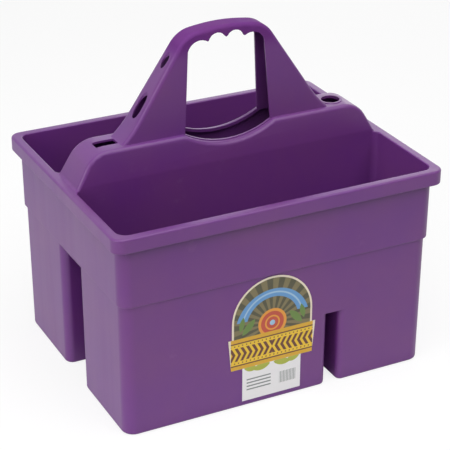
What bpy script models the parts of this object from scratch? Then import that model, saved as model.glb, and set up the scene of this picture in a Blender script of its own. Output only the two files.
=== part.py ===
"""Moulded grooming tote with a saddle channel, and the label on its front wall.

The tub, its rim, the hollow divider and the handle are one moulding that leaves
its mould straight up and down, so every hollow is open below or above. Lengths
are in metres. X runs along the tote, the labelled wall faces -Y, +Z is up, and
the origin is on the ground under the middle of the tub.
"""
import math

import bmesh
import bpy

# Tub
RIM_LENGTH = 0.4064
RIM_WIDTH = 0.3206
RIM_HEIGHT = 0.2504
WALL = 0.0026
DRAFT = math.radians(0.15)
TUB_CORNER_RADIUS = 0.0145
FOOT_EDGE_RADIUS = 0.0035
STEP_HEIGHT = 0.1625
STEP_DEPTH = 0.0024

# Rolled rim
RIM_CORNER_RADIUS = 0.0135
RIM_OVERHANG = 0.0080
RIM_THICKNESS = 0.0030
SKIRT_DEPTH = 0.0170
SKIRT_WALL = 0.0025
RIM_EDGE_RADIUS = 0.0024
RIM_INNER_RADIUS = 0.0016

# Saddle channel under the divider, open through both ends
CHANNEL_WIDTH = 0.0498
NOTCH_HEIGHT = 0.1590
NOTCH_EDGE_RADIUS = 0.0100

# Narrow slot across the tub, open through the front and rear walls
SLOT_X = 0.0692
SLOT_WIDTH = 0.0147
SLOT_HEIGHT = 0.0950
SLOT_EDGE_RADIUS = 0.0073

# Shoulders of the divider above the rim
SHOULDER_RISE = 0.0386
SHOULDER_SETBACK = 0.0015
SHOULDER_END_SLOPE = math.radians(60.0)
SHOULDER_END_RADIUS = 0.0320
SHOULDER_FOOT_RADIUS = 0.0060
SHOULDER_LEAN = math.radians(6.0)
SHOULDER_EDGE_RADIUS = 0.0042

# Handle legs and grip
GRIP_RISE = 0.1570
LEG_FOOT_X = 0.1259
LEG_SLOPE = math.radians(56.4)
LEG_FLARE_HEIGHT = 0.0132
LEG_FLARE_SLOPE = math.radians(43.0)
LEG_FLARE_RADIUS = 0.1200
LEG_FOOT_RADIUS = 0.0080
HANDLE_FOOT_WIDTH = 0.0356
HANDLE_LEAN = math.radians(2.8)
HANDLE_EDGE_RADIUS = 0.0042
CROWN_LENGTH = 0.0540
CROWN_SAGITTA = 0.0018
GRIP_CORNER_RADIUS = 0.0340

# Hand opening with finger grips
OPENING_TOP_WIDTH = 0.0954
OPENING_BOTTOM_WIDTH = 0.1084
OPENING_SILL_SAG = 0.0146
FINGER_COUNT = 4
FINGER_PITCH = 0.0222
FINGER_SAGITTA = 0.0090
FINGER_END_SAGITTA = 0.0068
FINGER_CUSP_DEPTH = 0.0162
FINGER_CUSP_RADIUS = 0.0016
FINGER_END_DROP = 0.0078
SILL_UPSTAND = 0.0012

# Tool holes, all open straight up
UPPER_TOOL_HOLE_X = 0.0696
UPPER_TOOL_HOLE_WIDTH = 0.0105
LOWER_TOOL_HOLE_X = 0.1013
LOWER_TOOL_HOLE_LENGTH = 0.0180
LOWER_TOOL_HOLE_WIDTH = 0.0130
SHOULDER_SLOT_X = -0.1450
SHOULDER_SLOT_LENGTH = 0.0262
SHOULDER_SLOT_WIDTH = 0.0145
SHOULDER_SLOT_CORNER_RADIUS = 0.0020
SHOULDER_HOLE_X = 0.1438
SHOULDER_HOLE_WIDTH = 0.0220
HOLE_LIP_WIDTH = 0.0030
HOLE_LIP_RISE = 0.0008

# Label on the front wall, between the foot edge and the step
LABEL_X = -0.0110
LABEL_THICKNESS = 0.0003
LABEL_GAP = 0.0003
LABEL_TOP_MARGIN = 0.0015
LABEL_FOOT_MARGIN = 0.0040
LABEL_ARCH_WIDTH = 0.1020
LABEL_RIBBON_WIDTH = 0.1110
LABEL_RIBBON_HEIGHT = 0.0400
LABEL_RIBBON_TAPER = 0.0035
LABEL_RIBBON_DROP = 0.0190
LABEL_PANEL_WIDTH = 0.0750

# How far a cutter or a buried end runs past the face that it crosses
OVERRUN = 0.0120
BURIED = 0.0100
SEAT = 0.0004
ARC_STEPS = 6
SMALLEST_RADIUS = 0.0003
SMOOTH_ANGLE = math.radians(35.0)

PURPLE = (0.155, 0.060, 0.215, 1.0)
LABEL_YELLOW = (0.610, 0.420, 0.040, 1.0)


def lean(z):
    """Inward lean of a drafted wall at height z, measured from the rim."""
    return (RIM_HEIGHT - z) * math.tan(DRAFT)


def tub_half(size, z, stepped):
    """Half the tub's outer size at height z; stepped below the step line."""
    step = STEP_DEPTH if stepped else 0.0
    return size / 2 - RIM_OVERHANG - lean(z) - step


def divider_half(z):
    """Half the divider's outer width below the rim."""
    return CHANNEL_WIDTH / 2 + WALL + lean(z)


def channel_half(z):
    """Half the clear width inside the divider below the rim."""
    return divider_half(z) - WALL


def shoulder_half(z):
    """Half the divider's outer width above the rim."""
    bend = RIM_HEIGHT + SHOULDER_EDGE_RADIUS
    return divider_half(RIM_HEIGHT) - (z - bend) * math.tan(SHOULDER_LEAN)


def handle_half(z):
    """Half the handle's outer width."""
    return HANDLE_FOOT_WIDTH / 2 - (z - shoulder_top()) * math.tan(HANDLE_LEAN)


def shoulder_top():
    return RIM_HEIGHT + SHOULDER_RISE


def grip_top():
    return RIM_HEIGHT + GRIP_RISE


def edge_inset(z, bottom, radius):
    """How far a rounded bottom edge draws in at height z."""
    if z >= bottom + radius:
        return 0.0
    drop = bottom + radius - max(z, bottom)
    return radius - math.sqrt(radius ** 2 - drop ** 2)


def quarter_levels(bottom, radius, steps=3):
    """Heights that divide a rounded bottom edge into equal turns."""
    turns = [math.radians(90.0 * k / steps) for k in range(steps + 1)]
    return [bottom + radius * (1 - math.cos(turn)) for turn in turns]


def arc(cx, cy, radius, start, end, steps=ARC_STEPS):
    """Points of an arc, with angles in degrees."""
    points = []
    for k in range(steps + 1):
        turn = math.radians(start + (end - start) * k / steps)
        points.append((cx + radius * math.cos(turn), cy + radius * math.sin(turn)))
    return points


def bulged(start, end, sagitta, steps=ARC_STEPS):
    """Points of an arc that bulges to the right of its chord, without its end."""
    dx = end[0] - start[0]
    dy = end[1] - start[1]
    chord = math.hypot(dx, dy)
    radius = (chord ** 2 / 4 + sagitta ** 2) / (2 * sagitta)
    half_turn = math.asin(min(1.0, chord / 2 / radius))
    if sagitta > chord / 2:
        half_turn = math.pi - half_turn
    right = (dy / chord, -dx / chord)
    centre_x = (start[0] + end[0]) / 2 + right[0] * (sagitta - radius)
    centre_y = (start[1] + end[1]) / 2 + right[1] * (sagitta - radius)
    points = []
    for k in range(steps):
        turn = half_turn * (2 * k / steps - 1)
        along = radius * math.sin(turn) / chord
        out = radius * math.cos(turn)
        points.append((centre_x + dx * along + right[0] * out, centre_y + dy * along + right[1] * out))
    return points


def fillet(before, corner, after, radius, steps=ARC_STEPS):
    """Points of an arc that rounds a corner between two straight runs."""
    to_before = unit(corner, before)
    to_after = unit(corner, after)
    cosine = to_before[0] * to_after[0] + to_before[1] * to_after[1]
    half_angle = math.acos(max(-1.0, min(1.0, cosine))) / 2
    reach = radius / math.tan(half_angle)
    bisector = (to_before[0] + to_after[0], to_before[1] + to_after[1])
    size = math.hypot(*bisector)
    distance = radius / math.sin(half_angle)
    centre = (corner[0] + bisector[0] / size * distance, corner[1] + bisector[1] / size * distance)
    first = (corner[0] + to_before[0] * reach, corner[1] + to_before[1] * reach)
    last = (corner[0] + to_after[0] * reach, corner[1] + to_after[1] * reach)
    start = math.atan2(first[1] - centre[1], first[0] - centre[0])
    turn = math.atan2(last[1] - centre[1], last[0] - centre[0]) - start
    turn = (turn + math.pi) % (2 * math.pi) - math.pi
    return [(centre[0] + radius * math.cos(start + turn * k / steps),
             centre[1] + radius * math.sin(start + turn * k / steps)) for k in range(steps + 1)]


def ring_of(x, radius, steps=24):
    """Full circle round a point on the X axis."""
    return arc(x, 0.0, radius, 0.0, 360.0 - 360.0 / steps, steps - 1)


def unit(start, end):
    size = math.hypot(end[0] - start[0], end[1] - start[1])
    return ((end[0] - start[0]) / size, (end[1] - start[1]) / size)


def mirrored(points):
    """Right half of an outline followed by its mirror image, from the bottom up and over."""
    return points + [(-x, y) for x, y in reversed(points) if abs(x) > 1e-7]


def inset(outline, distance):
    """Outline moved inwards by a distance, with mitred corners; the outline runs anticlockwise."""
    moved = []
    for k, point in enumerate(outline):
        before = unit(outline[k - 1], point)
        after = unit(point, outline[(k + 1) % len(outline)])
        normal = (-before[1] - after[1], before[0] + after[0])
        size = math.hypot(*normal)
        normal = (normal[0] / size, normal[1] / size)
        mitre = distance / (normal[0] * -before[1] + normal[1] * before[0])
        moved.append((point[0] + normal[0] * mitre, point[1] + normal[1] * mitre))
    return moved


def rounded_rectangle(x0, x1, y0, y1, near_radius, far_radius):
    """Rectangle with near_radius at both y0 corners and far_radius at both y1 corners."""
    near = max(near_radius, SMALLEST_RADIUS)
    far = max(far_radius, SMALLEST_RADIUS)
    return (arc(x1 - near, y0 + near, near, -90, 0)
            + arc(x1 - far, y1 - far, far, 0, 90)
            + arc(x0 + far, y1 - far, far, 90, 180)
            + arc(x0 + near, y0 + near, near, 180, 270))


def passage(half_gap, edge_radius, shrink, wall, reach):
    """Plan of a gap through two walls at u = +-wall, flaring round their vertical edges."""
    radius = max(edge_radius - shrink, SMALLEST_RADIUS)
    along = wall - edge_radius
    across = half_gap + edge_radius
    return ([(reach, -across)]
            + arc(along, -across, radius, 0, 90)
            + arc(-along, -across, radius, 90, 180)
            + [(-reach, -across), (-reach, across)]
            + arc(-along, across, radius, 180, 270)
            + arc(along, across, radius, 270, 360)
            + [(reach, across)])


def new_object(name, bm):
    """Object of a closed mesh whose faces point outwards."""
    bmesh.ops.remove_doubles(bm, verts=bm.verts, dist=1e-7)
    bmesh.ops.recalc_face_normals(bm, faces=bm.faces)
    mesh = bpy.data.meshes.new(name)
    bm.to_mesh(mesh)
    bm.free()
    obj = bpy.data.objects.new(name, mesh)
    bpy.context.scene.collection.objects.link(obj)
    return obj


def loft(name, rings):
    """Closed solid through rings of equally many points, with a flat cap on each end."""
    bm = bmesh.new()
    loops = [[bm.verts.new(point) for point in ring] for ring in rings]
    for lower, upper in zip(loops, loops[1:]):
        for k in range(len(lower)):
            after = (k + 1) % len(lower)
            bm.faces.new((lower[k], lower[after], upper[after], upper[k]))
    bm.faces.new(list(reversed(loops[0])))
    bm.faces.new(loops[-1])
    return new_object(name, bm)


def level(outline, z):
    """Plan outline as a ring at height z."""
    return [(x, y, z) for x, y in outline]


def upright_block(name, outline, half, edge_radius, steps=3):
    """Solid of an XZ outline with its half width given by height, and rounded edges."""
    turns = [math.radians(90.0 * k / steps) for k in range(steps + 1)]
    rings = []
    for turn in reversed(turns):
        drawn = inset(outline, edge_radius * (1 - math.cos(turn)))
        side = edge_radius * (1 - math.sin(turn))
        rings.append([(x, -half(z) + side, z) for x, z in drawn])
    rings += [[(x, -y, z) for x, y, z in ring] for ring in reversed(rings)]
    return loft(name, rings)


def combine(target, tool, operation):
    """Join or cut the target with a tool, which is then removed."""
    modifier = target.modifiers.new(operation.lower(), "BOOLEAN")
    modifier.operation = operation
    modifier.solver = "EXACT"
    modifier.object = tool
    graph = bpy.context.evaluated_depsgraph_get()
    mesh = bpy.data.meshes.new_from_object(target.evaluated_get(graph))
    target.modifiers.clear()
    old = target.data
    target.data = mesh
    bpy.data.meshes.remove(old)
    bpy.data.objects.remove(tool)


def tub_ring(z, stepped, drawn=0.0):
    """Ring of the tub's outer wall, drawn in from its full size."""
    x = tub_half(RIM_LENGTH, z, stepped) - drawn
    y = tub_half(RIM_WIDTH, z, stepped) - drawn
    radius = TUB_CORNER_RADIUS - drawn
    return level(rounded_rectangle(-x, x, -y, y, radius, radius), z)


def rim_ring(z, drawn=0.0):
    """Ring of the rim's skirt, drawn in from its outer face."""
    x = RIM_LENGTH / 2 - drawn
    y = RIM_WIDTH / 2 - drawn
    radius = RIM_CORNER_RADIUS - drawn
    return level(rounded_rectangle(-x, x, -y, y, radius, radius), z)


def tub_blank():
    """Outside of the tub with its stepped wall and rolled rim, still solid inside."""
    rings = []
    for z in quarter_levels(0.0, FOOT_EDGE_RADIUS):
        rings.append(tub_ring(z, True, edge_inset(z, 0.0, FOOT_EDGE_RADIUS)))
    rings.append(tub_ring(STEP_HEIGHT, True))
    rings.append(tub_ring(STEP_HEIGHT + STEP_DEPTH / 2, False))
    underside = RIM_HEIGHT - RIM_THICKNESS
    skirt_foot = RIM_HEIGHT - SKIRT_DEPTH
    rings.append(tub_ring(underside, False))
    rings.append(rim_ring(underside, SKIRT_WALL))
    rings.append(rim_ring(skirt_foot, SKIRT_WALL))
    skirt_edge = SKIRT_WALL / 4
    rings.append(rim_ring(skirt_foot, skirt_edge))
    rings.append(rim_ring(skirt_foot + skirt_edge))
    for drop in reversed(quarter_levels(0.0, RIM_EDGE_RADIUS)):
        rings.append(rim_ring(RIM_HEIGHT - drop, edge_inset(drop, 0.0, RIM_EDGE_RADIUS)))
    return loft("tote_moulding", rings)


def compartment_ring(side, z, stepped, drawn=0.0, flare=0.0):
    """Ring of one compartment; drawn shrinks it all round, flare widens its outer sides."""
    x = tub_half(RIM_LENGTH, z, stepped) - WALL - drawn + flare
    outer = tub_half(RIM_WIDTH, z, stepped) - WALL - drawn + flare
    inner = divider_half(z) + drawn
    near = NOTCH_EDGE_RADIUS - WALL - drawn
    far = TUB_CORNER_RADIUS - WALL - drawn + flare
    outline = rounded_rectangle(-x, x, inner, outer, near, far)
    return level([(px, side * py) for px, py in outline], z)


def compartment(side):
    """Space of one compartment, with the slot's ridge left standing in it."""
    floor_radius = max(FOOT_EDGE_RADIUS - WALL, SMALLEST_RADIUS)
    rings = []
    for z in quarter_levels(WALL, floor_radius):
        rings.append(compartment_ring(side, z, True, edge_inset(z, WALL, floor_radius)))
    ledge = STEP_HEIGHT + WALL
    rings.append(compartment_ring(side, ledge, True))
    rings.append(compartment_ring(side, ledge + STEP_DEPTH, False))
    for drop in reversed(quarter_levels(0.0, RIM_INNER_RADIUS)):
        flare = edge_inset(drop, 0.0, RIM_INNER_RADIUS)
        rings.append(compartment_ring(side, RIM_HEIGHT - drop, False, 0.0, flare))
    top = compartment_ring(side, RIM_HEIGHT + OVERRUN, False, 0.0, RIM_INNER_RADIUS)
    rings.append(top)
    space = loft("compartment", rings)
    combine(space, slot_ridge(), "DIFFERENCE")
    return space


def across_tub(outline, z):
    """Passage plan turned to run along Y at the slot."""
    return [(SLOT_X + v, u, z) for u, v in outline]


def slot_ridge():
    """Wall round the cross slot, as the solid that stands up in the compartments."""
    gap = SLOT_WIDTH / 2
    edge = max(SLOT_EDGE_RADIUS, WALL + SMALLEST_RADIUS)
    floor_radius = max(FOOT_EDGE_RADIUS - WALL, SMALLEST_RADIUS)
    roof = SLOT_HEIGHT + WALL
    reach = RIM_WIDTH / 2 + OVERRUN
    rings = []

    def add(z, shrink, z_out):
        wall = tub_half(RIM_WIDTH, z, True)
        rings.append(across_tub(passage(gap + lean(z), edge, shrink, wall, reach), z_out))

    add(0.0, WALL + floor_radius, -OVERRUN)
    for z in quarter_levels(WALL, floor_radius):
        add(z, WALL + edge_inset(z, WALL, floor_radius), z)
    add(roof - WALL / 2, WALL, roof - WALL / 2)
    add(roof, WALL / 2, roof)
    return loft("slot_ridge", rings)


def cross_slot():
    """Space of the narrow slot across the tub."""
    gap = SLOT_WIDTH / 2
    reach = RIM_WIDTH / 2 + OVERRUN
    levels = quarter_levels(0.0, FOOT_EDGE_RADIUS) + [SLOT_HEIGHT]
    rings = []
    for z in [-OVERRUN] + levels:
        shrink = edge_inset(z, 0.0, FOOT_EDGE_RADIUS)
        wall = tub_half(RIM_WIDTH, max(z, 0.0), True)
        plan = passage(gap + lean(max(z, 0.0)), SLOT_EDGE_RADIUS, shrink, wall, reach)
        rings.append(across_tub(plan, z))
    return loft("cross_slot", rings)


def saddle_channel():
    """Space under the divider, open below and through both ends."""
    reach = RIM_LENGTH / 2 + OVERRUN
    levels = quarter_levels(0.0, FOOT_EDGE_RADIUS) + [NOTCH_HEIGHT]
    rings = []
    for z in [-OVERRUN] + levels:
        shrink = edge_inset(z, 0.0, FOOT_EDGE_RADIUS)
        wall = tub_half(RIM_LENGTH, max(z, 0.0), True)
        plan = passage(channel_half(max(z, 0.0)), NOTCH_EDGE_RADIUS, shrink, wall, reach)
        rings.append(level(plan, z))
    return loft("saddle_channel", rings)


def divider_hollow():
    """Space inside the divider, from the notches up into the hollow of the shoulders."""
    rings = []
    for z in (NOTCH_HEIGHT - BURIED, RIM_HEIGHT - BURIED / 2):
        x = tub_half(RIM_LENGTH, z, False) - WALL - STEP_DEPTH
        y = channel_half(z) - SEAT
        radius = NOTCH_EDGE_RADIUS - WALL
        rings.append(level(rounded_rectangle(-x, x, -y, y, radius, radius), z))
    return loft("divider_hollow", rings)


def sill():
    """Chord ends and centre of the arc that forms the hand opening's sill."""
    half = OPENING_BOTTOM_WIDTH / 2
    radius = (half ** 2 + OPENING_SILL_SAG ** 2) / (2 * OPENING_SILL_SAG)
    end_height = shoulder_top() - SEAT
    return half, radius, end_height - OPENING_SILL_SAG + radius


def shoulder_outline(flared):
    """Side view of the divider above the rim, dipping under the hand opening.

    When flared, the ends run out onto the rim in a hollow curve, and the base is
    deep enough for the block's rounded edges to end inside the tub.
    """
    end = tub_half(RIM_LENGTH, RIM_HEIGHT, False) - WALL - SHOULDER_SETBACK
    top = shoulder_top()
    foot = (end, RIM_HEIGHT - SEAT)
    corner = (end - (top - foot[1]) / math.tan(SHOULDER_END_SLOPE), top)
    half, radius, centre = sill()
    dip = radius + SILL_UPSTAND
    dip_end = math.degrees(math.asin((top - centre) / dip))
    if flared:
        outboard = (end + SHOULDER_FOOT_RADIUS, foot[1])
        foot_arc = fillet(outboard, foot, corner, SHOULDER_FOOT_RADIUS, 4)
        base = RIM_HEIGHT - BURIED - 2 * SHOULDER_EDGE_RADIUS
        right = [(foot_arc[0][0], base)] + foot_arc
    else:
        right = [(end, RIM_HEIGHT - BURIED), foot]
    right += fillet(foot, corner, (0.0, top), SHOULDER_END_RADIUS)
    right += arc(0.0, centre, dip, dip_end, -90.0, 8)
    return mirrored(right)


def leg_line():
    """Point and direction of the leg's straight outer edge, leaning towards the grip."""
    return (LEG_FOOT_X, shoulder_top()), (-math.cos(LEG_SLOPE), math.sin(LEG_SLOPE))


def crossing(point, direction, other, other_direction):
    """Where two straight lines cross."""
    cross = direction[0] * other_direction[1] - direction[1] * other_direction[0]
    dx = other[0] - point[0]
    dy = other[1] - point[1]
    along = (dx * other_direction[1] - dy * other_direction[0]) / cross
    return (point[0] + direction[0] * along, point[1] + direction[1] * along)


def handle_outline():
    """Side view of the legs and the crowned grip, buried in the shoulders below."""
    foot, up_leg = leg_line()
    seat = shoulder_top() - SEAT
    base = shoulder_top() - OPENING_SILL_SAG - BURIED
    half_crown = CROWN_LENGTH / 2
    crown_radius = (half_crown ** 2 + CROWN_SAGITTA ** 2) / (2 * CROWN_SAGITTA)
    crown_turn = math.asin(half_crown / crown_radius)
    crown_end = (half_crown, grip_top() - CROWN_SAGITTA)
    tangent = (math.cos(crown_turn), -math.sin(crown_turn))
    corner = crossing(crown_end, tangent, foot, up_leg)
    bend = crossing((0.0, seat + LEG_FLARE_HEIGHT), (1.0, 0.0), foot, up_leg)
    flare = (-math.cos(LEG_FLARE_SLOPE), math.sin(LEG_FLARE_SLOPE))
    foot_corner = crossing((0.0, seat), (1.0, 0.0), bend, flare)
    outboard = (foot_corner[0] + LEG_FOOT_RADIUS, seat)
    foot_arc = fillet(outboard, foot_corner, bend, LEG_FOOT_RADIUS, 4)
    end = foot_arc[0][0] + BURIED
    right = [(end, base), (end, seat)]
    right += foot_arc
    right += fillet(foot_corner, bend, corner, LEG_FLARE_RADIUS, 4)
    right += fillet(bend, corner, crown_end, GRIP_CORNER_RADIUS, 8)
    crown_degrees = math.degrees(crown_turn)
    right += arc(0.0, grip_top() - crown_radius, crown_radius, 90 - crown_degrees, 90, 3)
    return mirrored(right)


def opening_outline():
    """Side view of the hand opening: sill, straight sides and finger grips."""
    half, radius, centre = sill()
    sill_end = math.degrees(math.asin((shoulder_top() - SEAT - centre) / radius))
    points = arc(0.0, centre, radius, -180.0 - sill_end, sill_end, 12)
    arches = []
    cusp_height = grip_top() - FINGER_CUSP_DEPTH
    end_half = OPENING_TOP_WIDTH / 2
    cusps = [(end_half, cusp_height - FINGER_END_DROP)]
    middle = FINGER_COUNT / 2
    for k in range(1, FINGER_COUNT):
        cusps.append(((middle - k) * FINGER_PITCH, cusp_height))
    cusps.append((-end_half, cusp_height - FINGER_END_DROP))
    for k in range(FINGER_COUNT):
        at_end = k in (0, FINGER_COUNT - 1)
        sagitta = FINGER_END_SAGITTA if at_end else FINGER_SAGITTA
        arches.append(bulged(cusps[k], cusps[k + 1], sagitta, 8))
    points += arches[0]
    for before, after in zip(arches, arches[1:]):
        points += fillet(before[-1], after[0], after[1], FINGER_CUSP_RADIUS, 3) + after[1:]
    points.append(cusps[-1])
    return points


def prism(name, outline, half_depth):
    """Solid of an XZ outline through both panels of the handle."""
    front = [(x, -half_depth, z) for x, z in outline]
    rear = [(x, half_depth, z) for x, z in outline]
    return loft(name, [front, rear])


def hole(name, x, length, width, corner, low, high):
    """Upright cutter with rounded corners, length along X."""
    outline = rounded_rectangle(x - length / 2, x + length / 2, -width / 2, width / 2, corner, corner)
    return loft(name, [level(outline, low), level(outline, high)])


def leg_height(x):
    """Height of the leg's outer face at x."""
    foot, up_leg = leg_line()
    return foot[1] + (foot[0] - abs(x)) * math.tan(LEG_SLOPE)


def tool_holes():
    """Cutters of the round and long holes in the shoulders and legs."""
    cutters = []
    top = shoulder_top()
    cutters.append(hole("shoulder_slot", SHOULDER_SLOT_X, SHOULDER_SLOT_LENGTH, SHOULDER_SLOT_WIDTH,
                        SHOULDER_SLOT_CORNER_RADIUS, top - 3 * WALL, top + OVERRUN))
    cutters.append(hole("shoulder_hole", SHOULDER_HOLE_X, SHOULDER_HOLE_WIDTH, SHOULDER_HOLE_WIDTH,
                        SHOULDER_HOLE_WIDTH / 2, top - 3 * WALL, top + OVERRUN))
    sizes = ((UPPER_TOOL_HOLE_X, UPPER_TOOL_HOLE_WIDTH, UPPER_TOOL_HOLE_WIDTH),
             (LOWER_TOOL_HOLE_X, LOWER_TOOL_HOLE_LENGTH, LOWER_TOOL_HOLE_WIDTH))
    for x, length, width in sizes:
        low = leg_height(x + length / 2) - 3 * WALL
        high = leg_height(x - length / 2) + OVERRUN
        for side in (-1, 1):
            cutters.append(hole("leg_hole", side * x, length, width, width / 2, low, high))
    return cutters


def hole_lip():
    """Raised ring round the shoulder's round hole."""
    top = shoulder_top()
    radius = SHOULDER_HOLE_WIDTH / 2 + HOLE_LIP_WIDTH
    rings = []
    for drawn, z in ((0.0, top - WALL + SEAT), (0.0, top + HOLE_LIP_RISE / 2),
                     (HOLE_LIP_RISE / 2, top + HOLE_LIP_RISE)):
        rings.append(level(ring_of(SHOULDER_HOLE_X, radius - drawn), z))
    return loft("hole_lip", rings)


def tote_moulding():
    """The whole moulding: blank, divider and handle joined, then all hollows cut."""
    body = tub_blank()
    outline = shoulder_outline(flared=True)
    inner_outline = inset(shoulder_outline(flared=False), WALL)
    shape = handle_outline()
    combine(body, upright_block("shoulders", outline, shoulder_half, SHOULDER_EDGE_RADIUS), "UNION")
    combine(body, upright_block("handle", shape, handle_half, HANDLE_EDGE_RADIUS), "UNION")
    combine(body, hole_lip(), "UNION")
    for side in (-1, 1):
        combine(body, compartment(side), "DIFFERENCE")
    combine(body, saddle_channel(), "DIFFERENCE")
    combine(body, divider_hollow(), "DIFFERENCE")
    inner_shoulders = upright_block("shoulder_hollow", inner_outline,
                                    lambda z: shoulder_half(z) - WALL,
                                    max(SHOULDER_EDGE_RADIUS - WALL, SMALLEST_RADIUS), 2)
    combine(body, inner_shoulders, "DIFFERENCE")
    inner_handle = upright_block("handle_hollow", inset(shape, WALL),
                                 lambda z: handle_half(z) - WALL,
                                 max(HANDLE_EDGE_RADIUS - WALL, SMALLEST_RADIUS), 2)
    combine(body, inner_handle, "DIFFERENCE")
    combine(body, cross_slot(), "DIFFERENCE")
    combine(body, prism("hand_opening", opening_outline(), HANDLE_FOOT_WIDTH), "DIFFERENCE")
    for cutter in tool_holes():
        combine(body, cutter, "DIFFERENCE")
    return body


def label_outline():
    """Front view of the label: arch, ribbon with drawn-in ends, and lower panel."""
    top = STEP_HEIGHT - LABEL_TOP_MARGIN
    bottom = FOOT_EDGE_RADIUS + LABEL_FOOT_MARGIN
    arch = LABEL_ARCH_WIDTH / 2
    spring = top - arch
    ribbon_top = spring - LABEL_RIBBON_DROP
    ribbon_bottom = ribbon_top - LABEL_RIBBON_HEIGHT
    ribbon = LABEL_RIBBON_WIDTH / 2
    panel = LABEL_PANEL_WIDTH / 2
    right = [(panel, bottom), (panel, ribbon_bottom),
             (ribbon - LABEL_RIBBON_TAPER, ribbon_bottom), (ribbon, ribbon_top), (arch, ribbon_top)]
    right += arc(0.0, spring, arch, 0, 90, 12)
    return mirrored(right)


def product_label():
    """Thin label that follows the drafted front wall."""
    rings = []
    for stand_off in (LABEL_GAP, LABEL_GAP + LABEL_THICKNESS):
        rings.append([(LABEL_X + x, -tub_half(RIM_WIDTH, z, True) - stand_off, z)
                      for x, z in label_outline()])
    return loft("product_label", rings)


def finish(obj, name, colour, roughness):
    """Material, smooth shading with sharp edges kept, and a tidy mesh name."""
    material = bpy.data.materials.new(name)
    material.use_nodes = True
    shader = material.node_tree.nodes["Principled BSDF"]
    shader.inputs["Base Color"].default_value = colour
    shader.inputs["Roughness"].default_value = roughness
    shader.inputs["Metallic"].default_value = 0.0
    obj.data.name = obj.name
    obj.data.materials.clear()
    obj.data.materials.append(material)
    obj.data.shade_smooth()
    obj.data.set_sharp_from_angle(angle=SMOOTH_ANGLE)


def main():
    for obj in list(bpy.data.objects):
        bpy.data.objects.remove(obj)
    finish(tote_moulding(), "purple_polyethylene", PURPLE, 0.45)
    finish(product_label(), "printed_label", LABEL_YELLOW, 0.35)


main()
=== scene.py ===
# %% [markdown]
# # A moulded grooming tote
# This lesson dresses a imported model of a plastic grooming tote: a tub with a
# rolled rim, a hollow divider, a handle with finger grips, and a printed label.
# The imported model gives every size. Here each surface gets the finish that the
# real one has, and the whole is lit like a product photograph.

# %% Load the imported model
import math

import bmesh
import bpy
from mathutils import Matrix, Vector


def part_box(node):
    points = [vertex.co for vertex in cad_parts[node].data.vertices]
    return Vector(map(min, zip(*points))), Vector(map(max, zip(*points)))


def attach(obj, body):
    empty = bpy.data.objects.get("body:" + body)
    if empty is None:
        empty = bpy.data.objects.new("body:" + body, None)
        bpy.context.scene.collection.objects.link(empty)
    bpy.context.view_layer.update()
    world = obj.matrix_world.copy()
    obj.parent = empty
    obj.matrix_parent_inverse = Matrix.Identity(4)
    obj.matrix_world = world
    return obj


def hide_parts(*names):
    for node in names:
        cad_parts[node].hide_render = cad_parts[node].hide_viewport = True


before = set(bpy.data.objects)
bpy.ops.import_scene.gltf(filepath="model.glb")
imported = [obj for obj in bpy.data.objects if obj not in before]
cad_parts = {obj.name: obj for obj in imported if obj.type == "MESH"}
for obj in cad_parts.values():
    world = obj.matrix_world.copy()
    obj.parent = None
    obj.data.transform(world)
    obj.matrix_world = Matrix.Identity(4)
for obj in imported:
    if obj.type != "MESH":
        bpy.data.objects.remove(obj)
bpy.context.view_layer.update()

MM = 1000.0


# %% [markdown]
# ## Working like a modeller
# Blender's operators act on whatever is selected, and loading leaves the packed
# pieces selected. So one small helper clears the selection and picks the piece
# that the next operators are meant for, and two more open and leave edit mode.
# The last one finishes a piece: its place goes into its mesh, it rides on the
# tote's one body, and the imported node that it stands for is hidden.

# %% Helpers
def pick(obj):
    """Make one object the only selected one, and the active one."""
    bpy.ops.object.select_all(action="DESELECT")
    obj.select_set(True)
    bpy.context.view_layer.objects.active = obj


def edit(obj, mode="FACE"):
    """Open one object in edit mode with nothing selected."""
    pick(obj)
    bpy.ops.object.mode_set(mode="EDIT")
    bpy.ops.mesh.select_mode(type=mode)
    bpy.ops.mesh.select_all(action="DESELECT")


def done():
    """Leave edit mode."""
    bpy.ops.object.mode_set(mode="OBJECT")


def stand_for(obj, name, node):
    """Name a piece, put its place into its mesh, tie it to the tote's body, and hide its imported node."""
    obj.name = name
    obj.data.name = name
    pick(obj)
    bpy.ops.object.transform_apply(location=True, rotation=True, scale=True)
    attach(obj, "root")
    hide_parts(node)
    print(name, len(obj.data.polygons), "faces")


# %% [markdown]
# ## The moulding with softened edges
# No edge of a moulding is knife sharp: the mould's own edges are broken, and the
# plastic shrinks away from them. A highlight along each edge is what tells the
# eye that a shape is plastic and not paper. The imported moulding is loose
# triangles, so a copy is merged, flat pairs of triangles become quads, and a
# bevel rounds what is still sharp. Each sharp edge gets a bevel weight. Where
# small shapes crowd together, such as the finger grips, the feet of the handle
# and the sill of the hand opening, the weight is low, so that the bevels don't
# run into each other. Normals weighted by area then keep the large walls flat.

# %% Copy and soften the moulding
EDGE_SOFTNESS = 0.0006
FINE_WEIGHT = 0.2
ROUND_STEPS = 3
AREA_PULL = 100
SHARP_ANGLE = math.radians(34)
FLAT_ANGLE = math.radians(0.6)
QUAD_ANGLE = math.radians(120)
MERGE_DISTANCE = 0.00001
FAR = 1.0
# Where small shapes crowd: ranges of the distance from the middle along X and Y, and of the height
CROWDED = {"finger_grips": ((0.0, 0.048), (0.0, FAR), (0.380, FAR)),
           "handle_feet": ((0.122, 0.162), (0.0, FAR), (0.275, FAR)),
           "shoulder_feet": ((0.176, FAR), (0.0, 0.040), (0.236, 0.262)),
           "opening_sill": ((0.0, 0.056), (0.0, FAR), (0.266, 0.300)),
           "cross_slot_tops": ((0.052, 0.086), (0.140, FAR), (0.092, 0.100))}

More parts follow.
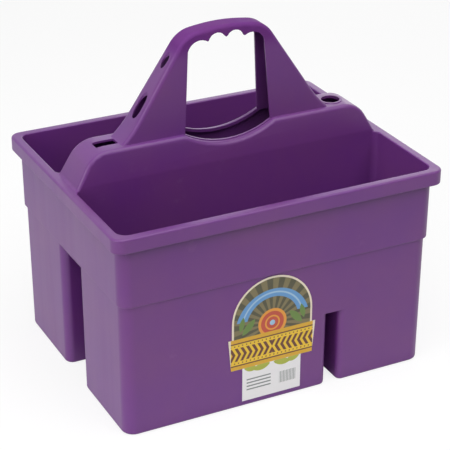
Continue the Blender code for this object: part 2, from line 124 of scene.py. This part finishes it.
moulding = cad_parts["tote_moulding"].copy()
moulding.data = moulding.data.copy()
bpy.context.scene.collection.objects.link(moulding)
moulding.parent = None
for key in list(moulding.keys()):
    del moulding[key]

edit(moulding)
bpy.ops.mesh.select_all(action="SELECT")
bpy.ops.mesh.remove_doubles(threshold=MERGE_DISTANCE)
bpy.ops.mesh.customdata_custom_splitnormals_clear()
bpy.ops.mesh.tris_convert_to_quads(face_threshold=FLAT_ANGLE, shape_threshold=QUAD_ANGLE)
done()


def crowded(place):
    """Whether a place lies among small shapes that stand close together."""
    spot = (abs(place.x), abs(place.y), place.z)
    return any(all(low <= value < high for value, (low, high) in zip(spot, ranges))
               for ranges in CROWDED.values())


edit(moulding, "EDGE")
bpy.ops.mesh.edges_select_sharp(sharpness=SHARP_ANGLE)
bpy.ops.transform.edge_bevelweight(value=1.0)
mesh = bmesh.from_edit_mesh(moulding.data)
for edge in mesh.edges:
    if edge.select and not crowded((edge.verts[0].co + edge.verts[1].co) / 2):
        edge.select = False
mesh.select_flush(False)
bmesh.update_edit_mesh(moulding.data)
bpy.ops.transform.edge_bevelweight(value=FINE_WEIGHT - 1.0)
done()

soften = moulding.modifiers.new("soft_edges", "BEVEL")
soften.width = EDGE_SOFTNESS
soften.segments = ROUND_STEPS
soften.limit_method = "WEIGHT"
soften.use_clamp_overlap = False
soften.miter_outer = "MITER_ARC"
pick(moulding)
bpy.ops.object.modifier_apply(modifier="soft_edges")
bpy.ops.object.shade_smooth()

even = moulding.modifiers.new("even_normals", "WEIGHTED_NORMAL")
even.weight = AREA_PULL
bpy.ops.object.modifier_apply(modifier="even_normals")
stand_for(moulding, "tote_shell", "tote_moulding")

# %% [markdown]
# ## The camera
# The photograph looks down on the tote from its front left. The place of the
# camera was worked out from the rim, the step in the wall and the corner edges,
# and a small lens shift sets the tote where the photograph has it.

# %% Set up the camera
TARGET = Vector((0.0, 0.0, 0.110))
AZIMUTH = math.radians(-26.58)
ELEVATION = math.radians(27.49)
DISTANCE = 1.8924
IMAGE = 450.0
FOCAL_PIXELS = 1577.97
CENTRE_X = 221.45
CENTRE_Y = 258.83
SENSOR = 36.0

back = Vector((math.sin(AZIMUTH) * math.cos(ELEVATION),
               -math.cos(AZIMUTH) * math.cos(ELEVATION),
               math.sin(ELEVATION)))
camera_data = bpy.data.cameras.new("photo_camera")
camera_data.sensor_width = SENSOR
camera_data.lens = SENSOR * FOCAL_PIXELS / IMAGE
camera_data.shift_x = (IMAGE / 2 - CENTRE_X) / IMAGE
camera_data.shift_y = (CENTRE_Y - IMAGE / 2) / IMAGE
camera = bpy.data.objects.new("photo_camera", camera_data)
camera.location = TARGET + back * DISTANCE
camera.rotation_euler = back.to_track_quat("Z", "Y").to_euler()
bpy.context.scene.collection.objects.link(camera)
bpy.context.scene.camera = camera
print("camera at", [round(value, 3) for value in camera.location])

# %% [markdown]
# ## Wiring shaders
# The finishes below are made of many small nodes. Small helpers keep each step to
# one line: add a node, feed a socket with a number or with another socket, do one
# sum, mix two colours by a mask, find a value's place in a range, split a place
# into X, Y and Z, and add noise. Two more make a node group and place it.

# %% Shader helpers
def add_node(tree, kind, **settings):
    """New node of a kind, with its settings."""
    node = tree.nodes.new("ShaderNode" + kind)
    for name, value in settings.items():
        setattr(node, name, value)
    return node


def feed(tree, socket, value):
    """Link a socket to another one, or write a plain value into it."""
    if isinstance(value, bpy.types.NodeSocket):
        tree.links.new(value, socket)
    else:
        socket.default_value = value


def sum_of(tree, operation, *values, clamp=False):
    """One sum on numbers or sockets."""
    node = add_node(tree, "Math", operation=operation, use_clamp=clamp)
    for socket, value in zip(node.inputs, values):
        feed(tree, socket, value)
    return node.outputs[0]


def mixed(tree, mask, base, top):
    """Colour that is top where the mask is 1, and base where it is 0."""
    node = add_node(tree, "Mix", data_type="RGBA")
    for socket, value in zip((node.inputs[0], node.inputs[6], node.inputs[7]), (mask, base, top)):
        feed(tree, socket, value)
    return node.outputs[2]


def ranged(tree, value, low, high, smooth=False):
    """Place of a value in a range, from 0 at its first end to 1 at its second."""
    node = add_node(tree, "MapRange", interpolation_type="SMOOTHSTEP" if smooth else "LINEAR")
    for name, item in (("Value", value), ("From Min", low), ("From Max", high)):
        feed(tree, node.inputs[name], item)
    return node.outputs["Result"]


def split(tree, place):
    """The X, Y and Z of a place."""
    node = add_node(tree, "SeparateXYZ")
    feed(tree, node.inputs[0], place)
    return node.outputs


def noise(tree, place, scale, detail=2.0, roughness=0.5):
    """Soft noise on a place, from 0 to 1."""
    node = add_node(tree, "TexNoise")
    feed(tree, node.inputs["Vector"], place)
    feed(tree, node.inputs["Scale"], scale)
    node.inputs["Detail"].default_value = detail
    node.inputs["Roughness"].default_value = roughness
    return node.outputs["Fac"]


def new_group(name, inputs, outputs):
    """Empty node group with named inputs and outputs; each is a name and a socket type."""
    tree = bpy.data.node_groups.new(name, "ShaderNodeTree")
    for label, kind, value in inputs:
        socket = tree.interface.new_socket(label, in_out="INPUT", socket_type="NodeSocket" + kind)
        if value is not None:
            socket.default_value = value
    for label, kind in outputs:
        tree.interface.new_socket(label, in_out="OUTPUT", socket_type="NodeSocket" + kind)
    return tree, tree.nodes.new("NodeGroupInput"), tree.nodes.new("NodeGroupOutput")


def place_group(tree, group, **values):
    """One use of a node group, with its own values."""
    node = tree.nodes.new("ShaderNodeGroup")
    node.node_tree = group
    for name, value in values.items():
        feed(tree, node.inputs[name.replace("_", " ").capitalize()], value)
    return node


# %% [markdown]
# ## The floor
# A product photograph has a seamless white ground. The floor shows white to the
# camera and in reflections, and still darkens under the tote: for the camera by
# its real shadow, and in reflections by a painted shadow under the tote's
# footprint. The light that it throws back comes from near the tote, as from a
# sheet of paper on a table, so that the walls get it and the tub's inside doesn't.
# The material tells the two apart by the kind of ray, so no lamp has to be bright
# enough to whiten a floor.

# %% Build the floor
FLOOR_SIZE = 12.0
FLOOR_DROP = 0.0002
FLOOR_GLOW = 0.81
FLOOR_SHADE = (0.22, 0.22, 0.22, 1.0)
FLOOR_BOUNCE = (0.92, 0.92, 0.92, 1.0)
FLOOR_DARK = (0.10, 0.10, 0.10, 1.0)
BOUNCE_REACH = (0.45, 1.15)
FOOTPRINT = (0.180, 0.145)
FOOTPRINT_BLUR = 0.02

bpy.ops.object.select_all(action="DESELECT")
bpy.ops.mesh.primitive_plane_add(size=FLOOR_SIZE, location=(0.0, 0.0, -FLOOR_DROP))
floor = bpy.context.object
floor.name = "floor"


def seen_directly(tree, *kinds):
    """1 for camera rays and rays of the named kinds, else 0."""
    ray = add_node(tree, "LightPath")
    result = ray.outputs["Is Camera Ray"]
    for kind in kinds:
        result = sum_of(tree, "MAXIMUM", result, ray.outputs[kind])
    return result


paper = bpy.data.materials.new("white_ground")
paper.use_nodes = True
tree = paper.node_tree
tree.nodes.clear()
place = add_node(tree, "TexCoord").outputs["Object"]
away = add_node(tree, "VectorMath", operation="LENGTH")
tree.links.new(place, away.inputs[0])
far = ranged(tree, away.outputs["Value"], *BOUNCE_REACH, smooth=True)
bounce = add_node(tree, "BsdfDiffuse")
feed(tree, bounce.inputs["Color"], mixed(tree, far, FLOOR_BOUNCE, FLOOR_DARK))
shade = add_node(tree, "BsdfDiffuse")
shade.inputs["Color"].default_value = FLOOR_SHADE
# painted shadow: in reflections the floor's glow is taken away under the tote's footprint
beyond = [sum_of(tree, "SUBTRACT", sum_of(tree, "ABSOLUTE", distance), half)
          for distance, half in zip(split(tree, place), FOOTPRINT)]
beneath = ranged(tree, sum_of(tree, "MAXIMUM", *beyond), FOOTPRINT_BLUR, -FOOTPRINT_BLUR)
glossy = add_node(tree, "LightPath").outputs["Is Glossy Ray"]
reflected_footprint_shade = sum_of(tree, "MULTIPLY", beneath, glossy)
glow = add_node(tree, "Emission")
feed(tree, glow.inputs["Strength"], sum_of(tree, "MULTIPLY_ADD", reflected_footprint_shade, -FLOOR_GLOW, FLOOR_GLOW))
shown = add_node(tree, "AddShader")
tree.links.new(shade.outputs[0], shown.inputs[0])
tree.links.new(glow.outputs[0], shown.inputs[1])
choose = add_node(tree, "MixShader")
tree.links.new(seen_directly(tree, "Is Glossy Ray", "Is Transmission Ray"), choose.inputs["Fac"])
tree.links.new(bounce.outputs[0], choose.inputs[1])
tree.links.new(shown.outputs[0], choose.inputs[2])
tree.links.new(choose.outputs[0], add_node(tree, "OutputMaterial").inputs["Surface"])
floor.data.materials.append(paper)

# %% [markdown]
# ## The light
# Big, soft lamps keep the shadows gentle: one above and in front, which makes the
# rims the palest part and leaves a shadow below the front rim, one from the left,
# which lifts the end wall, and a weak one for the back. Behind the tote the paper
# goes up as a white backdrop, which only shows where the plastic mirrors it.

# %% Light the scene
AMBIENT = 0.10
BACKDROP = (0.45, 0.89, 0.0)
BACKDROP_RANGE = (-0.1, 0.5)
WHITE = (1.0, 1.0, 1.0, 1.0)
LAMPS = (("overhead", (0.00, -0.80, 2.05), 2.6, 50.0),
         ("key_left", (-2.30, -0.45, 1.10), 1.5, 27.0),
         ("back_fill", (1.50, 2.10, 0.90), 1.5, 9.0))

world = bpy.data.worlds.new("studio")
bpy.context.scene.world = world
world.use_nodes = True
tree = world.node_tree
tree.nodes.clear()
ambient = add_node(tree, "Background")
ambient.inputs["Strength"].default_value = AMBIENT
white = add_node(tree, "Background")
for background in (ambient, white):
    background.inputs["Color"].default_value = WHITE
toward = add_node(tree, "VectorMath", operation="DOT_PRODUCT")
toward.inputs[1].default_value = BACKDROP
tree.links.new(add_node(tree, "TexCoord").outputs["Generated"], toward.inputs[0])
behind = ranged(tree, toward.outputs["Value"], *BACKDROP_RANGE, smooth=True)
glossy = add_node(tree, "LightPath").outputs["Is Glossy Ray"]
mirrored = sum_of(tree, "MULTIPLY", glossy, behind)
shown = sum_of(tree, "MAXIMUM", seen_directly(tree, "Is Transmission Ray"), mirrored)
choose = add_node(tree, "MixShader")
tree.links.new(shown, choose.inputs["Fac"])
tree.links.new(ambient.outputs[0], choose.inputs[1])
tree.links.new(white.outputs[0], choose.inputs[2])
tree.links.new(choose.outputs[0], add_node(tree, "OutputWorld").inputs["Surface"])

for name, spot, size, power in LAMPS:
    data = bpy.data.lights.new(name, "AREA")
    data.size = size
    data.energy = power
    lamp = bpy.data.objects.new(name, data)
    lamp.location = spot
    lamp.rotation_euler = (Vector(spot) - TARGET).to_track_quat("Z", "Y").to_euler()
    bpy.context.scene.collection.objects.link(lamp)

bpy.context.scene.view_settings.view_transform = "Standard"

# %% [markdown]
# ## Moulded skin
# Polyethylene straight from the mould isn't smooth. Its colour clouds where the
# melt met, its skin has an orange peel of a millimetre or two, and it draws
# faint lines down the walls, the way it left the mould. These belong to the
# process and not to the colour, so they form a group that any moulded plastic
# can use: Cloud and Draw are masks, and Height goes to a bump.

# %% Group for a moulded skin
DRAW_STRETCH = (1.0, 1.0, 0.06)
DRAW_SCALE = 55.0
DRAW_HEIGHT = 0.35
FINE_PEEL_SCALE = 2400.0
FINE_PEEL_HEIGHT = 0.25

skin, skin_in, skin_out = new_group(
    "moulded_skin",
    (("Place", "Vector", None), ("Peel", "Float", 600.0), ("Cloud size", "Float", 9.0)),
    (("Cloud", "Float"), ("Draw", "Float"), ("Height", "Float")))
place = skin_in.outputs["Place"]
stretch = add_node(skin, "Mapping")
stretch.inputs["Scale"].default_value = DRAW_STRETCH
skin.links.new(place, stretch.inputs["Vector"])
cloud = noise(skin, place, skin_in.outputs["Cloud size"], detail=4.0, roughness=0.6)
draw = noise(skin, stretch.outputs["Vector"], DRAW_SCALE, detail=3.0, roughness=0.55)
peel = noise(skin, place, skin_in.outputs["Peel"], detail=1.0)
fine_peel = noise(skin, place, FINE_PEEL_SCALE, detail=1.0)
peel_height = sum_of(skin, "MULTIPLY_ADD", fine_peel, FINE_PEEL_HEIGHT, peel)
height = sum_of(skin, "MULTIPLY_ADD", draw, DRAW_HEIGHT, peel_height)
for label, socket in (("Cloud", cloud), ("Draw", draw), ("Height", height)):
    skin.links.new(socket, skin_out.inputs[label])

# %% [markdown]
# ## Wear and painted light along the edges
# Edges are rubbed first, and thin plastic passes more light, so they look a
# little paler: the paler band is partly wear and partly a painted highlight.
# Cycles knows how much a surface bulges at a point; a range of that value picks
# the soft edges, and noise breaks the line up so that it doesn't look drawn.
# Where the surface bulges least, a second range picks the creases, which get
# painted shade.

# %% Group for edge wear, painted edge highlight and painted crease shade
BREAK_SCALE = 130.0
BREAK_GAIN = 0.9
BREAK_LEAST = 0.35
CREASE_START = 0.49
CREASE_CONTRAST = 12.0

wear_and_light, wear_and_light_in, wear_and_light_out = new_group(
    "edge_wear_and_light",
    (("Place", "Vector", None), ("Start", "Float", 0.52), ("End", "Float", 0.60)),
    (("Edge", "Float"), ("Crease", "Float")))
bulge = add_node(wear_and_light, "NewGeometry").outputs["Pointiness"]
broken = noise(wear_and_light, wear_and_light_in.outputs["Place"], BREAK_SCALE, detail=4.0, roughness=0.7)
on_edge = ranged(wear_and_light, bulge, wear_and_light_in.outputs["Start"], wear_and_light_in.outputs["End"])
patchy = sum_of(wear_and_light, "MULTIPLY_ADD", broken, BREAK_GAIN, BREAK_LEAST, clamp=True)
# the edge mask stands for rubbed wear and for a painted highlight
wear_and_light.links.new(sum_of(wear_and_light, "MULTIPLY", on_edge, patchy), wear_and_light_out.inputs["Edge"])
# painted shade: the crease mask, where the surface curves inward, darkens the colour
hollow = sum_of(wear_and_light, "SUBTRACT", CREASE_START, bulge)
crease_shade = sum_of(wear_and_light, "MULTIPLY", hollow, CREASE_CONTRAST, clamp=True)
wear_and_light.links.new(crease_shade, wear_and_light_out.inputs["Crease"])

# %% [markdown]
# ## Purple polyethylene
# The tub is coloured all through. The violet shifts a little between red and blue
# with the clouds, is paler along the edges from wear and a painted highlight, has
# painted shade in the creases, and fine dusty scuffs lie where brushes and boots
# touch it. The scuffs are stretched noise, shown only where a second, broader
# noise is high. The skin is satin, and a little rougher along the draw lines and scuffs.

# %% Make the plastic
PURPLE = (0.146, 0.030, 0.222, 1.0)
RED_VIOLET = (0.166, 0.041, 0.212, 1.0)
# paler violet for rubbed wear and a painted edge highlight
WORN_HIGHLIGHT_VIOLET = (0.260, 0.090, 0.350, 1.0)
# painted shade colour for the creases
CREASE_SHADE_VIOLET = (0.088, 0.013, 0.130, 1.0)
SCUFF_VIOLET = (0.225, 0.095, 0.270, 1.0)
CLOUD_RANGE = (0.35, 0.68)
CREASE_SHADE_TINT = 0.45
SCUFF_TINT = 0.35
WEAR_HIGHLIGHT_TINT = 0.55
SCUFF_TURN = (0.4, 0.3, 0.7)
SCUFF_STRETCH = (1.0, 9.0, 1.0)
SCUFF_LINE_SCALE = 46.0
SCUFF_LINE_START = 0.60
SCUFF_LINE_CONTRAST = 7.0
SCUFF_PATCH_SCALE = 14.0
SCUFF_PATCH_START = 0.52
SCUFF_PATCH_CONTRAST = 8.0
ROUGHNESS = 0.33
DRAW_ROUGHER = 0.12
SCUFF_ROUGHER = 0.16
PLASTIC_IOR = 1.51


def above(tree, value, start, contrast):
    """1 where a value is well above a start, and 0 below it."""
    return sum_of(tree, "MULTIPLY", sum_of(tree, "SUBTRACT", value, start), contrast, clamp=True)


plastic = bpy.data.materials.new("purple_polyethylene")
plastic.use_nodes = True
tree = plastic.node_tree
shader = tree.nodes["Principled BSDF"]
place = add_node(tree, "TexCoord").outputs["Object"]
skin_node = place_group(tree, skin, place=place)
wear_and_light_node = place_group(tree, wear_and_light, place=place)

tone = mixed(tree, ranged(tree, skin_node.outputs["Cloud"], *CLOUD_RANGE), PURPLE, RED_VIOLET)
# painted shade: creases are darkened towards a deeper violet
painted_crease_shade = sum_of(tree, "MULTIPLY", wear_and_light_node.outputs["Crease"], CREASE_SHADE_TINT)
tone = mixed(tree, painted_crease_shade, tone, CREASE_SHADE_VIOLET)

scuff_place = add_node(tree, "Mapping")
scuff_place.inputs["Rotation"].default_value = SCUFF_TURN
scuff_place.inputs["Scale"].default_value = SCUFF_STRETCH
feed(tree, scuff_place.inputs["Vector"], place)
scuff_lines = noise(tree, scuff_place.outputs["Vector"], SCUFF_LINE_SCALE, detail=5.0, roughness=0.7)
scuff_patches = noise(tree, place, SCUFF_PATCH_SCALE)
scuffs = sum_of(tree, "MULTIPLY",
                above(tree, scuff_lines, SCUFF_LINE_START, SCUFF_LINE_CONTRAST),
                above(tree, scuff_patches, SCUFF_PATCH_START, SCUFF_PATCH_CONTRAST))
tone = mixed(tree, sum_of(tree, "MULTIPLY", scuffs, SCUFF_TINT), tone, SCUFF_VIOLET)
# rubbed wear and painted highlight: the edges are mixed towards a paler violet
tone = mixed(tree, sum_of(tree, "MULTIPLY", wear_and_light_node.outputs["Edge"], WEAR_HIGHLIGHT_TINT), tone, WORN_HIGHLIGHT_VIOLET)
feed(tree, shader.inputs["Base Color"], tone)

rough = sum_of(tree, "MULTIPLY_ADD", skin_node.outputs["Draw"], DRAW_ROUGHER, ROUGHNESS)
rough = sum_of(tree, "MULTIPLY_ADD", scuffs, SCUFF_ROUGHER, rough)
shader.inputs["IOR"].default_value = PLASTIC_IOR

# %% [markdown]
# ## Stipple on the grip
# The top of the grip has a fine stipple for the hand, which makes it duller than
# the rest, and which fades out down the legs. It is too fine to model, so small
# round cells go to a bump. A mask that rises with the height fades it in, and
# makes the skin rougher and less shiny there. The skin's own peel and draw lines
# go to a bump below it.

# %% Stipple on the grip, and the bump
STIPPLE_FADE = (0.372, 0.392)
STIPPLE_SCALE = 575.0
PEEL_DEPTH = 0.00005
STIPPLE_DEPTH = 0.00012
STIPPLE_ROUGHER = 0.30
SHINE = 0.5
STIPPLE_DULLER = 0.40

stipple_cells = add_node(tree, "TexVoronoi", feature="SMOOTH_F1")
feed(tree, stipple_cells.inputs["Vector"], place)
stipple_cells.inputs["Scale"].default_value = STIPPLE_SCALE
fade = ranged(tree, split(tree, place)["Z"], *STIPPLE_FADE, smooth=True)
stipple = sum_of(tree, "MULTIPLY", stipple_cells.outputs["Distance"], fade)
rough = sum_of(tree, "MULTIPLY_ADD", fade, STIPPLE_ROUGHER, rough)
feed(tree, shader.inputs["Roughness"], rough)
shine = sum_of(tree, "MULTIPLY_ADD", fade, -STIPPLE_DULLER, SHINE)
feed(tree, shader.inputs["Specular IOR Level"], shine)

peel_bump = add_node(tree, "Bump")
peel_bump.inputs["Distance"].default_value = PEEL_DEPTH
feed(tree, peel_bump.inputs["Height"], skin_node.outputs["Height"])
stipple_bump = add_node(tree, "Bump")
stipple_bump.inputs["Distance"].default_value = STIPPLE_DEPTH
feed(tree, stipple_bump.inputs["Height"], stipple)
feed(tree, stipple_bump.inputs["Normal"], peel_bump.outputs["Normal"])
feed(tree, shader.inputs["Normal"], stipple_bump.outputs["Normal"])

moulding.data.materials.clear()
moulding.data.materials.append(plastic)
print("plastic nodes:", len(tree.nodes))

# %% [markdown]
# ## The label's artwork
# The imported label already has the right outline: an arch, a ribbon across it,
# and a small panel below. So it stays, and gets a printed finish. The design is
# plain geometry that any such label could carry: a sun with rays under a blue
# bow, leaves, a ribbon with chevrons, and a white panel with evenly spaced bars.
# It needs no picture file: each shape is a mask on the label's own width and
# height in millimetres, and the masks are laid over each other like inks.

# %% Label coordinates
label_low, label_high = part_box("product_label")
LABEL_MIDDLE = (label_low[0] + label_high[0]) / 2
LABEL_FOOT = label_low[2]
ARCH_RADIUS = 51.0
ARCH_CENTRE = (label_high[2] - LABEL_FOOT) * MM - ARCH_RADIUS
RIBBON_TOP = ARCH_CENTRE - 19.0
RIBBON_FOOT = RIBBON_TOP - 40.0
RIBBON_MIDDLE = (RIBBON_TOP + RIBBON_FOOT) / 2
print("arch centre in mm above the label's foot:", round(ARCH_CENTRE, 1))

print_ink = bpy.data.materials.new("printed_label")
print_ink.use_nodes = True
tree = print_ink.node_tree
shader = tree.nodes["Principled BSDF"]
place = add_node(tree, "TexCoord").outputs["Object"]
axes = split(tree, place)
across = sum_of(tree, "MULTIPLY", sum_of(tree, "SUBTRACT", axes["X"], LABEL_MIDDLE), MM)
upward = sum_of(tree, "MULTIPLY", sum_of(tree, "SUBTRACT", axes["Z"], LABEL_FOOT), MM)
aside = sum_of(tree, "ABSOLUTE", across)


# %% [markdown]
# ## Shapes made of masks
# A printed shape needs only a few kinds of mask: the part over or under an edge,
# where several masks meet, how far a point is from a centre, stripes, and a leaf
# where two circles cross. Every mask has a border about as soft as printed ink,
# which also keeps the edges from looking jagged in the render.

# %% Masks for printed shapes
INK_SOFTNESS = 0.25
STRIPE_SOFTNESS = 0.06


def over(value, edge, softness=INK_SOFTNESS):
    """1 where a value is over an edge, with a narrow soft border."""
    return sum_of(tree, "MULTIPLY_ADD", value, 1 / softness, 0.5 - edge / softness, clamp=True)


def under(value, edge, softness=INK_SOFTNESS):
    """1 where a value is under an edge."""
    return sum_of(tree, "MULTIPLY_ADD", value, -1 / softness, 0.5 + edge / softness, clamp=True)


def both(*masks):
    """Where all the masks are 1."""
    result = masks[0]
    for mask in masks[1:]:
        result = sum_of(tree, "MULTIPLY", result, mask)
    return result


def length_of(run, rise):
    """Length of a step that goes so far across and so far up."""
    squares = [sum_of(tree, "MULTIPLY", value, value) for value in (run, rise)]
    return sum_of(tree, "SQRT", sum_of(tree, "ADD", *squares))


def reach(x, z, sideways=across):
    """Distance in the label's plane from a point, or with aside from the nearer of two twins."""
    run = sum_of(tree, "SUBTRACT", sideways, x)
    return length_of(run, sum_of(tree, "SUBTRACT", upward, z))


def stripes(value, pitch, share):
    """Stripes of a pitch along a value, a share of which is 1."""
    return under(sum_of(tree, "FRACT", sum_of(tree, "DIVIDE", value, pitch)), share, STRIPE_SOFTNESS)


def leaf(x, z, length, width, lean):
    """Leaf on both sides of the label: where two large circles cross."""
    radius = (length ** 2 / 4 + width ** 2 / 4) / width
    off = radius - width / 2
    dx = math.cos(lean) * off
    dz = math.sin(lean) * off
    return both(under(reach(x + dx, z + dz, aside), radius), under(reach(x - dx, z - dz, aside), radius))


# %% [markdown]
# ## The arch
# Inks go on from the back to the front: the ground with its rays, the blue bow,
# the sun's discs from the largest to the smallest, the leaves, and the cream
# border last, so that it trims them all.

# %% Lay the inks over each other
CREAM = (0.86, 0.76, 0.60, 1.0)
OLIVE = (0.075, 0.070, 0.030, 1.0)
TAN = (0.200, 0.165, 0.070, 1.0)
SKY = (0.120, 0.330, 0.640, 1.0)
PALE_SKY = (0.360, 0.560, 0.740, 1.0)
SUN_RED = (0.560, 0.070, 0.030, 1.0)
SUN_ORANGE = (0.800, 0.330, 0.030, 1.0)
LEAF_GREEN = (0.130, 0.240, 0.040, 1.0)
RIBBON_YELLOW = (0.860, 0.560, 0.020, 1.0)
RIBBON_GOLD = (0.720, 0.400, 0.012, 1.0)
RUST = (0.130, 0.030, 0.012, 1.0)
PANEL_WHITE = (0.88, 0.87, 0.88, 1.0)
BAR_GREY = (0.200, 0.230, 0.220, 1.0)
LEAF_LIME = (0.420, 0.470, 0.050, 1.0)

SUN_HEIGHT = ARCH_CENTRE - 8.0
SUN_RADIUS = 18.0
SUN_DISCS = ((SUN_RADIUS, SUN_ORANGE), (14.5, SUN_RED), (9.5, SUN_ORANGE), (7.5, SUN_RED), (3.4, PALE_SKY))
RAY_COUNT = 22.0
RAY_SOFTNESS = 0.35
BOW_INNER_RADIUS = 33.0
BOW_OUTER_RADIUS = 47.0
BOW_DROP = 4.0
BOW_FOOT = SUN_HEIGHT + 9.0
BOW_LINE = (37.5, 39.5)
BORDER = 2.4
# Leaves beside the sun: place across, height over the ribbon, length, width and lean
GREEN_LEAVES = ((30.0, 12.0, 24.0, 8.5, math.radians(42)), (38.5, 17.0, 19.0, 6.5, math.radians(12)))

from_sun = reach(0.0, SUN_HEIGHT)
turn = sum_of(tree, "ARCTAN2", sum_of(tree, "SUBTRACT", upward, SUN_HEIGHT), across)
rays = over(sum_of(tree, "SINE", sum_of(tree, "MULTIPLY", turn, RAY_COUNT)), 0.0, RAY_SOFTNESS)
ink = mixed(tree, both(rays, over(from_sun, SUN_RADIUS)), OLIVE, TAN)
bow = both(over(from_sun, BOW_INNER_RADIUS), over(upward, BOW_FOOT),
           under(reach(0.0, SUN_HEIGHT - BOW_DROP), BOW_OUTER_RADIUS))
ink = mixed(tree, bow, ink, SKY)
ink = mixed(tree, both(bow, over(from_sun, BOW_LINE[0]), under(from_sun, BOW_LINE[1])), ink, PALE_SKY)
for radius, colour in SUN_DISCS:
    ink = mixed(tree, under(from_sun, radius), ink, colour)
for x, rise, length, width, lean in GREEN_LEAVES:
    ink = mixed(tree, leaf(x, RIBBON_TOP + rise, length, width, lean), ink, LEAF_GREEN)
from_arch = reach(0.0, ARCH_CENTRE)
ink = mixed(tree, both(over(from_arch, ARCH_RADIUS - BORDER), over(upward, ARCH_CENTRE)), ink, CREAM)
ink = mixed(tree, both(over(aside, ARCH_RADIUS - BORDER), under(upward, ARCH_CENTRE)), ink, CREAM)

# %% [markdown]
# ## The ribbon and the panel
# The ribbon lies across the arch. Its chevrons and dots are the same on both
# halves, so they are drawn on the distance from the middle line. The panel below
# it stands where a label has its small print. It says nothing: it has leaves,
# even bars and even lines.

# %% Ribbon
CHEVRON_PITCH = 7.2
CHEVRON_SHARE = 0.52
CHEVRON_LEAN = 0.55
CHEVRON_HALF = 8.6
CHEVRON_START = 40.0
DOT_PITCH = 5.0
DOT_HEIGHT = 11.1
DOT_SHARE = 0.17
EDGE_LINE = (13.5, 15.2)
RIBBON_END = 52.4

on_ribbon = both(under(upward, RIBBON_TOP), over(upward, RIBBON_FOOT))
from_middle = sum_of(tree, "ABSOLUTE", sum_of(tree, "SUBTRACT", upward, RIBBON_MIDDLE))
chevron_start = sum_of(tree, "ADD", aside, CHEVRON_START)
chevron_run = sum_of(tree, "MULTIPLY_ADD", from_middle, -CHEVRON_LEAN, chevron_start)
chevrons = both(stripes(chevron_run, CHEVRON_PITCH, CHEVRON_SHARE), under(from_middle, CHEVRON_HALF))
edge_line = both(over(from_middle, EDGE_LINE[0]), under(from_middle, EDGE_LINE[1]))
field = mixed(tree, edge_line, RIBBON_YELLOW, RUST)
field = mixed(tree, over(from_middle, EDGE_LINE[1]), field, RIBBON_GOLD)
field = mixed(tree, chevrons, field, RUST)
dot_run = sum_of(tree, "SUBTRACT", sum_of(tree, "FRACT", sum_of(tree, "DIVIDE", aside, DOT_PITCH)), 0.5)
dot_rise = sum_of(tree, "DIVIDE", sum_of(tree, "SUBTRACT", from_middle, DOT_HEIGHT), DOT_PITCH)
field = mixed(tree, under(length_of(dot_run, dot_rise), DOT_SHARE, STRIPE_SOFTNESS), field, RUST)
field = mixed(tree, over(aside, RIBBON_END), field, CREAM)
ink = mixed(tree, on_ribbon, ink, field)

# %% Panel
# Leaves below the ribbon: place across, drop, length, width and lean
LIME_LEAVES = ((13.0, 3.0, 22.0, 9.0, math.radians(80)), (27.0, 2.0, 17.0, 8.0, math.radians(100)))
BAR_PITCH = 1.9
BAR_SHARE = 0.45
BAR_FIELD = ((10.0, 31.0), (12.0, 27.0))
LINE_PITCH = 4.4
LINE_SHARE = 0.38
LINE_FIELD = ((-32.0, -1.0), (11.0, 28.5))


def inside(field):
    """1 inside a field, whose ranges go across and up."""
    (left, right), (foot, top) = field
    return both(over(across, left), under(across, right), over(upward, foot), under(upward, top))


on_panel = under(upward, RIBBON_FOOT)
panel = PANEL_WHITE
for x, drop, length, width, lean in LIME_LEAVES:
    shape = leaf(x, RIBBON_FOOT - drop, length, width, lean)
    panel = mixed(tree, both(shape, on_panel), panel, LEAF_LIME)
panel = mixed(tree, both(stripes(across, BAR_PITCH, BAR_SHARE), inside(BAR_FIELD)), panel, BAR_GREY)
panel = mixed(tree, both(stripes(upward, LINE_PITCH, LINE_SHARE), inside(LINE_FIELD)), panel, BAR_GREY)
ink = mixed(tree, on_panel, ink, panel)

# %% [markdown]
# ## The film
# The label is thin plastic film under a little varnish. It uses the same moulded
# skin as the tub, with finer clouds and a coarser peel. The clouds fade the ink
# slightly, and the peel makes a faint bump, as where the wall shows through.

# %% Print it on satin film
FILM_PEEL = 420.0
FILM_CLOUD = 60.0
FILM_WEAR = 0.05
FADED_INK = (0.62, 0.56, 0.50, 1.0)
FILM_DEPTH = 0.00004
FILM_ROUGHNESS = 0.38
FILM_IOR = 1.48
VARNISH = 0.08
VARNISH_ROUGHNESS = 0.22

film = place_group(tree, skin, place=place, peel=FILM_PEEL, cloud_size=FILM_CLOUD)
ink = mixed(tree, sum_of(tree, "MULTIPLY", film.outputs["Cloud"], FILM_WEAR), ink, FADED_INK)
feed(tree, shader.inputs["Base Color"], ink)
shader.inputs["Roughness"].default_value = FILM_ROUGHNESS
shader.inputs["IOR"].default_value = FILM_IOR
shader.inputs["Coat Weight"].default_value = VARNISH
shader.inputs["Coat Roughness"].default_value = VARNISH_ROUGHNESS
film_bump = add_node(tree, "Bump")
film_bump.inputs["Distance"].default_value = FILM_DEPTH
feed(tree, film_bump.inputs["Height"], film.outputs["Height"])
feed(tree, shader.inputs["Normal"], film_bump.outputs["Normal"])

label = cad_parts["product_label"]
label.data.materials.clear()
label.data.materials.append(print_ink)
print("label nodes:", len(tree.nodes))
